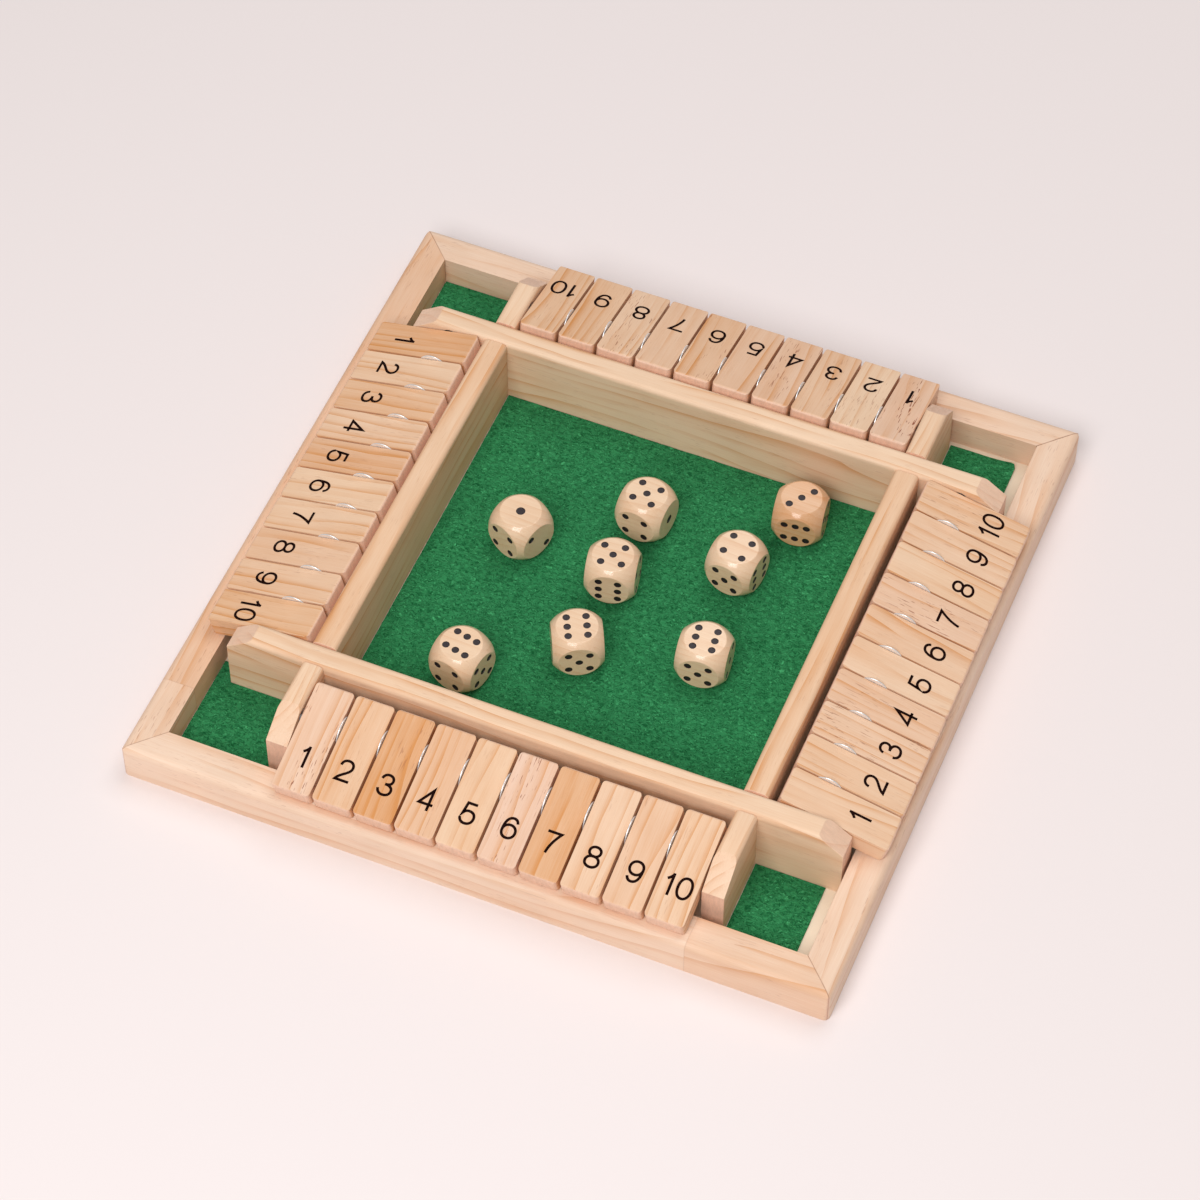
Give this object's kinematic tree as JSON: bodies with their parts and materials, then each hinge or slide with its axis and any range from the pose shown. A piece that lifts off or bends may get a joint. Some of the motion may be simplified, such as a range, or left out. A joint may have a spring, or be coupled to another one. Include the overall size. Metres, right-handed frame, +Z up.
{
  "type": "shut the box game",
  "caption": "Square wooden dice tray lined with felt, with a row of hinged number tiles along each side, corner pockets and loose wooden dice.",
  "frame": {"origin": "middle of the outer frame, on the surface that the game lies on", "axes": "+X to the right and -Y to the front as the front row's numbers are read, +Z up"},
  "size_m": [0.3, 0.3, 0.0366],
  "materials": {
    "frame_wood": "satin",
    "wall_wood": "satin",
    "tile_wood": "satin",
    "plywood": "matte",
    "die_wood": "gloss",
    "felt": "matte",
    "steel": "polished"
  },
  "bodies": {
    "box": {"frame_rails_front_back": "frame_wood", "frame_rails_left_right": "frame_wood", "base_board": "plywood", "tray_felt": "felt", "corner_felts": "felt", "long_rail_front": "wall_wood", "long_rail_back": "wall_wood", "tray_wall_left": "wall_wood", "tray_wall_right": "wall_wood", "rod_brackets": "wall_wood", "hinge_rods": "steel", "washers": "steel"},
    "tile_front_1": {"tile_front_1": "tile_wood"},
    "tile_front_2": {"tile_front_2": "tile_wood"},
    "tile_front_3": {"tile_front_3": "tile_wood"},
    "tile_front_4": {"tile_front_4": "tile_wood"},
    "tile_front_5": {"tile_front_5": "tile_wood"},
    "tile_front_6": {"tile_front_6": "tile_wood"},
    "tile_front_7": {"tile_front_7": "tile_wood"},
    "tile_front_8": {"tile_front_8": "tile_wood"},
    "tile_front_9": {"tile_front_9": "tile_wood"},
    "tile_front_10": {"tile_front_10": "tile_wood"},
    "tile_right_1": {"tile_right_1": "tile_wood"},
    "tile_right_2": {"tile_right_2": "tile_wood"},
    "tile_right_3": {"tile_right_3": "tile_wood"},
    "tile_right_4": {"tile_right_4": "tile_wood"},
    "tile_right_5": {"tile_right_5": "tile_wood"},
    "tile_right_6": {"tile_right_6": "tile_wood"},
    "tile_right_7": {"tile_right_7": "tile_wood"},
    "tile_right_8": {"tile_right_8": "tile_wood"},
    "tile_right_9": {"tile_right_9": "tile_wood"},
    "tile_right_10": {"tile_right_10": "tile_wood"},
    "tile_back_1": {"tile_back_1": "tile_wood"},
    "tile_back_2": {"tile_back_2": "tile_wood"},
    "tile_back_3": {"tile_back_3": "tile_wood"},
    "tile_back_4": {"tile_back_4": "tile_wood"},
    "tile_back_5": {"tile_back_5": "tile_wood"},
    "tile_back_6": {"tile_back_6": "tile_wood"},
    "tile_back_7": {"tile_back_7": "tile_wood"},
    "tile_back_8": {"tile_back_8": "tile_wood"},
    "tile_back_9": {"tile_back_9": "tile_wood"},
    "tile_back_10": {"tile_back_10": "tile_wood"},
    "tile_left_1": {"tile_left_1": "tile_wood"},
    "tile_left_2": {"tile_left_2": "tile_wood"},
    "tile_left_3": {"tile_left_3": "tile_wood"},
    "tile_left_4": {"tile_left_4": "tile_wood"},
    "tile_left_5": {"tile_left_5": "tile_wood"},
    "tile_left_6": {"tile_left_6": "tile_wood"},
    "tile_left_7": {"tile_left_7": "tile_wood"},
    "tile_left_8": {"tile_left_8": "tile_wood"},
    "tile_left_9": {"tile_left_9": "tile_wood"},
    "tile_left_10": {"tile_left_10": "tile_wood"},
    "die_1": {"die_1": "die_wood"},
    "die_2": {"die_2": "die_wood"},
    "die_3": {"die_3": "die_wood"},
    "die_4": {"die_4": "die_wood"},
    "die_5": {"die_5": "die_wood"},
    "die_6": {"die_6": "die_wood"},
    "die_7": {"die_7": "die_wood"},
    "die_8": {"die_8": "die_wood"}
  },
  "joints": [
    {"name": "tile_front_1_hinge", "type": "hinge", "parent": "box", "child": "tile_front_1", "pos_m": [0.0021, -0.11602, 0.0289], "axis": [-1, 0, 0], "range_deg": [0, 163.5]},
    {"name": "tile_front_2_hinge", "type": "hinge", "parent": "box", "child": "tile_front_2", "pos_m": [0.0021, -0.11602, 0.0289], "axis": [-1, 0, 0], "range_deg": [0, 163.5]},
    {"name": "tile_front_3_hinge", "type": "hinge", "parent": "box", "child": "tile_front_3", "pos_m": [0.0021, -0.11602, 0.0289], "axis": [-1, 0, 0], "range_deg": [0, 163.5]},
    {"name": "tile_front_4_hinge", "type": "hinge", "parent": "box", "child": "tile_front_4", "pos_m": [0.0021, -0.11602, 0.0289], "axis": [-1, 0, 0], "range_deg": [0, 163.5]},
    {"name": "tile_front_5_hinge", "type": "hinge", "parent": "box", "child": "tile_front_5", "pos_m": [0.0021, -0.11602, 0.0289], "axis": [-1, 0, 0], "range_deg": [0, 163.5]},
    {"name": "tile_front_6_hinge", "type": "hinge", "parent": "box", "child": "tile_front_6", "pos_m": [0.0021, -0.11602, 0.0289], "axis": [-1, 0, 0], "range_deg": [0, 163.5]},
    {"name": "tile_front_7_hinge", "type": "hinge", "parent": "box", "child": "tile_front_7", "pos_m": [0.0021, -0.11602, 0.0289], "axis": [-1, 0, 0], "range_deg": [0, 163.5]},
    {"name": "tile_front_8_hinge", "type": "hinge", "parent": "box", "child": "tile_front_8", "pos_m": [0.0021, -0.11602, 0.0289], "axis": [-1, 0, 0], "range_deg": [0, 163.5]},
    {"name": "tile_front_9_hinge", "type": "hinge", "parent": "box", "child": "tile_front_9", "pos_m": [0.0021, -0.11602, 0.0289], "axis": [-1, 0, 0], "range_deg": [0, 163.5]},
    {"name": "tile_front_10_hinge", "type": "hinge", "parent": "box", "child": "tile_front_10", "pos_m": [0.0021, -0.11602, 0.0289], "axis": [-1, 0, 0], "range_deg": [0, 163.5]},
    {"name": "tile_right_1_hinge", "type": "hinge", "parent": "box", "child": "tile_right_1", "pos_m": [0.11732, 0.0009, 0.0289], "axis": [0, -1, 0], "range_deg": [0, 159.5]},
    {"name": "tile_right_2_hinge", "type": "hinge", "parent": "box", "child": "tile_right_2", "pos_m": [0.11732, 0.0009, 0.0289], "axis": [0, -1, 0], "range_deg": [0, 159.5]},
    {"name": "tile_right_3_hinge", "type": "hinge", "parent": "box", "child": "tile_right_3", "pos_m": [0.11732, 0.0009, 0.0289], "axis": [0, -1, 0], "range_deg": [0, 159.5]},
    {"name": "tile_right_4_hinge", "type": "hinge", "parent": "box", "child": "tile_right_4", "pos_m": [0.11732, 0.0009, 0.0289], "axis": [0, -1, 0], "range_deg": [0, 159.5]},
    {"name": "tile_right_5_hinge", "type": "hinge", "parent": "box", "child": "tile_right_5", "pos_m": [0.11732, 0.0009, 0.0289], "axis": [0, -1, 0], "range_deg": [0, 159.5]},
    {"name": "tile_right_6_hinge", "type": "hinge", "parent": "box", "child": "tile_right_6", "pos_m": [0.11732, 0.0009, 0.0289], "axis": [0, -1, 0], "range_deg": [0, 159.5]},
    {"name": "tile_right_7_hinge", "type": "hinge", "parent": "box", "child": "tile_right_7", "pos_m": [0.11732, 0.0009, 0.0289], "axis": [0, -1, 0], "range_deg": [0, 159.5]},
    {"name": "tile_right_8_hinge", "type": "hinge", "parent": "box", "child": "tile_right_8", "pos_m": [0.11732, 0.0009, 0.0289], "axis": [0, -1, 0], "range_deg": [0, 159.5]},
    {"name": "tile_right_9_hinge", "type": "hinge", "parent": "box", "child": "tile_right_9", "pos_m": [0.11732, 0.0009, 0.0289], "axis": [0, -1, 0], "range_deg": [0, 159.5]},
    {"name": "tile_right_10_hinge", "type": "hinge", "parent": "box", "child": "tile_right_10", "pos_m": [0.11732, 0.0009, 0.0289], "axis": [0, -1, 0], "range_deg": [0, 159.5]},
    {"name": "tile_back_1_hinge", "type": "hinge", "parent": "box", "child": "tile_back_1", "pos_m": [0.0021, 0.11342, 0.0289], "axis": [1, 0, 0], "range_deg": [0, 156.5]},
    {"name": "tile_back_2_hinge", "type": "hinge", "parent": "box", "child": "tile_back_2", "pos_m": [0.0021, 0.11342, 0.0289], "axis": [1, 0, 0], "range_deg": [0, 156.5]},
    {"name": "tile_back_3_hinge", "type": "hinge", "parent": "box", "child": "tile_back_3", "pos_m": [0.0021, 0.11342, 0.0289], "axis": [1, 0, 0], "range_deg": [0, 156.5]},
    {"name": "tile_back_4_hinge", "type": "hinge", "parent": "box", "child": "tile_back_4", "pos_m": [0.0021, 0.11342, 0.0289], "axis": [1, 0, 0], "range_deg": [0, 156.5]},
    {"name": "tile_back_5_hinge", "type": "hinge", "parent": "box", "child": "tile_back_5", "pos_m": [0.0021, 0.11342, 0.0289], "axis": [1, 0, 0], "range_deg": [0, 156.5]},
    {"name": "tile_back_6_hinge", "type": "hinge", "parent": "box", "child": "tile_back_6", "pos_m": [0.0021, 0.11342, 0.0289], "axis": [1, 0, 0], "range_deg": [0, 156.5]},
    {"name": "tile_back_7_hinge", "type": "hinge", "parent": "box", "child": "tile_back_7", "pos_m": [0.0021, 0.11342, 0.0289], "axis": [1, 0, 0], "range_deg": [0, 156.5]},
    {"name": "tile_back_8_hinge", "type": "hinge", "parent": "box", "child": "tile_back_8", "pos_m": [0.0021, 0.11342, 0.0289], "axis": [1, 0, 0], "range_deg": [0, 156.5]},
    {"name": "tile_back_9_hinge", "type": "hinge", "parent": "box", "child": "tile_back_9", "pos_m": [0.0021, 0.11342, 0.0289], "axis": [1, 0, 0], "range_deg": [0, 156.5]},
    {"name": "tile_back_10_hinge", "type": "hinge", "parent": "box", "child": "tile_back_10", "pos_m": [0.0021, 0.11342, 0.0289], "axis": [1, 0, 0], "range_deg": [0, 156.5]},
    {"name": "tile_left_1_hinge", "type": "hinge", "parent": "box", "child": "tile_left_1", "pos_m": [-0.11122, 0.0009, 0.0289], "axis": [0, 1, 0], "range_deg": [0, 156]},
    {"name": "tile_left_2_hinge", "type": "hinge", "parent": "box", "child": "tile_left_2", "pos_m": [-0.11122, 0.0009, 0.0289], "axis": [0, 1, 0], "range_deg": [0, 156]},
    {"name": "tile_left_3_hinge", "type": "hinge", "parent": "box", "child": "tile_left_3", "pos_m": [-0.11122, 0.0009, 0.0289], "axis": [0, 1, 0], "range_deg": [0, 156]},
    {"name": "tile_left_4_hinge", "type": "hinge", "parent": "box", "child": "tile_left_4", "pos_m": [-0.11122, 0.0009, 0.0289], "axis": [0, 1, 0], "range_deg": [0, 156]},
    {"name": "tile_left_5_hinge", "type": "hinge", "parent": "box", "child": "tile_left_5", "pos_m": [-0.11122, 0.0009, 0.0289], "axis": [0, 1, 0], "range_deg": [0, 156]},
    {"name": "tile_left_6_hinge", "type": "hinge", "parent": "box", "child": "tile_left_6", "pos_m": [-0.11122, 0.0009, 0.0289], "axis": [0, 1, 0], "range_deg": [0, 156]},
    {"name": "tile_left_7_hinge", "type": "hinge", "parent": "box", "child": "tile_left_7", "pos_m": [-0.11122, 0.0009, 0.0289], "axis": [0, 1, 0], "range_deg": [0, 156]},
    {"name": "tile_left_8_hinge", "type": "hinge", "parent": "box", "child": "tile_left_8", "pos_m": [-0.11122, 0.0009, 0.0289], "axis": [0, 1, 0], "range_deg": [0, 156]},
    {"name": "tile_left_9_hinge", "type": "hinge", "parent": "box", "child": "tile_left_9", "pos_m": [-0.11122, 0.0009, 0.0289], "axis": [0, 1, 0], "range_deg": [0, 156]},
    {"name": "tile_left_10_hinge", "type": "hinge", "parent": "box", "child": "tile_left_10", "pos_m": [-0.11122, 0.0009, 0.0289], "axis": [0, 1, 0], "range_deg": [0, 156]},
    {"name": "die_1_lift", "type": "slide", "parent": "box", "child": "die_1", "axis": [0, 0, 1], "range_m": [0, 0.06]},
    {"name": "die_2_lift", "type": "slide", "parent": "box", "child": "die_2", "axis": [0, 0, 1], "range_m": [0, 0.06]},
    {"name": "die_3_lift", "type": "slide", "parent": "box", "child": "die_3", "axis": [0, 0, 1], "range_m": [0, 0.06]},
    {"name": "die_4_lift", "type": "slide", "parent": "box", "child": "die_4", "axis": [0, 0, 1], "range_m": [0, 0.06]},
    {"name": "die_5_lift", "type": "slide", "parent": "box", "child": "die_5", "axis": [0, 0, 1], "range_m": [0, 0.06]},
    {"name": "die_6_lift", "type": "slide", "parent": "box", "child": "die_6", "axis": [0, 0, 1], "range_m": [0, 0.06]},
    {"name": "die_7_lift", "type": "slide", "parent": "box", "child": "die_7", "axis": [0, 0, 1], "range_m": [0, 0.06]},
    {"name": "die_8_lift", "type": "slide", "parent": "box", "child": "die_8", "axis": [0, 0, 1], "range_m": [0, 0.06]}
  ]
}
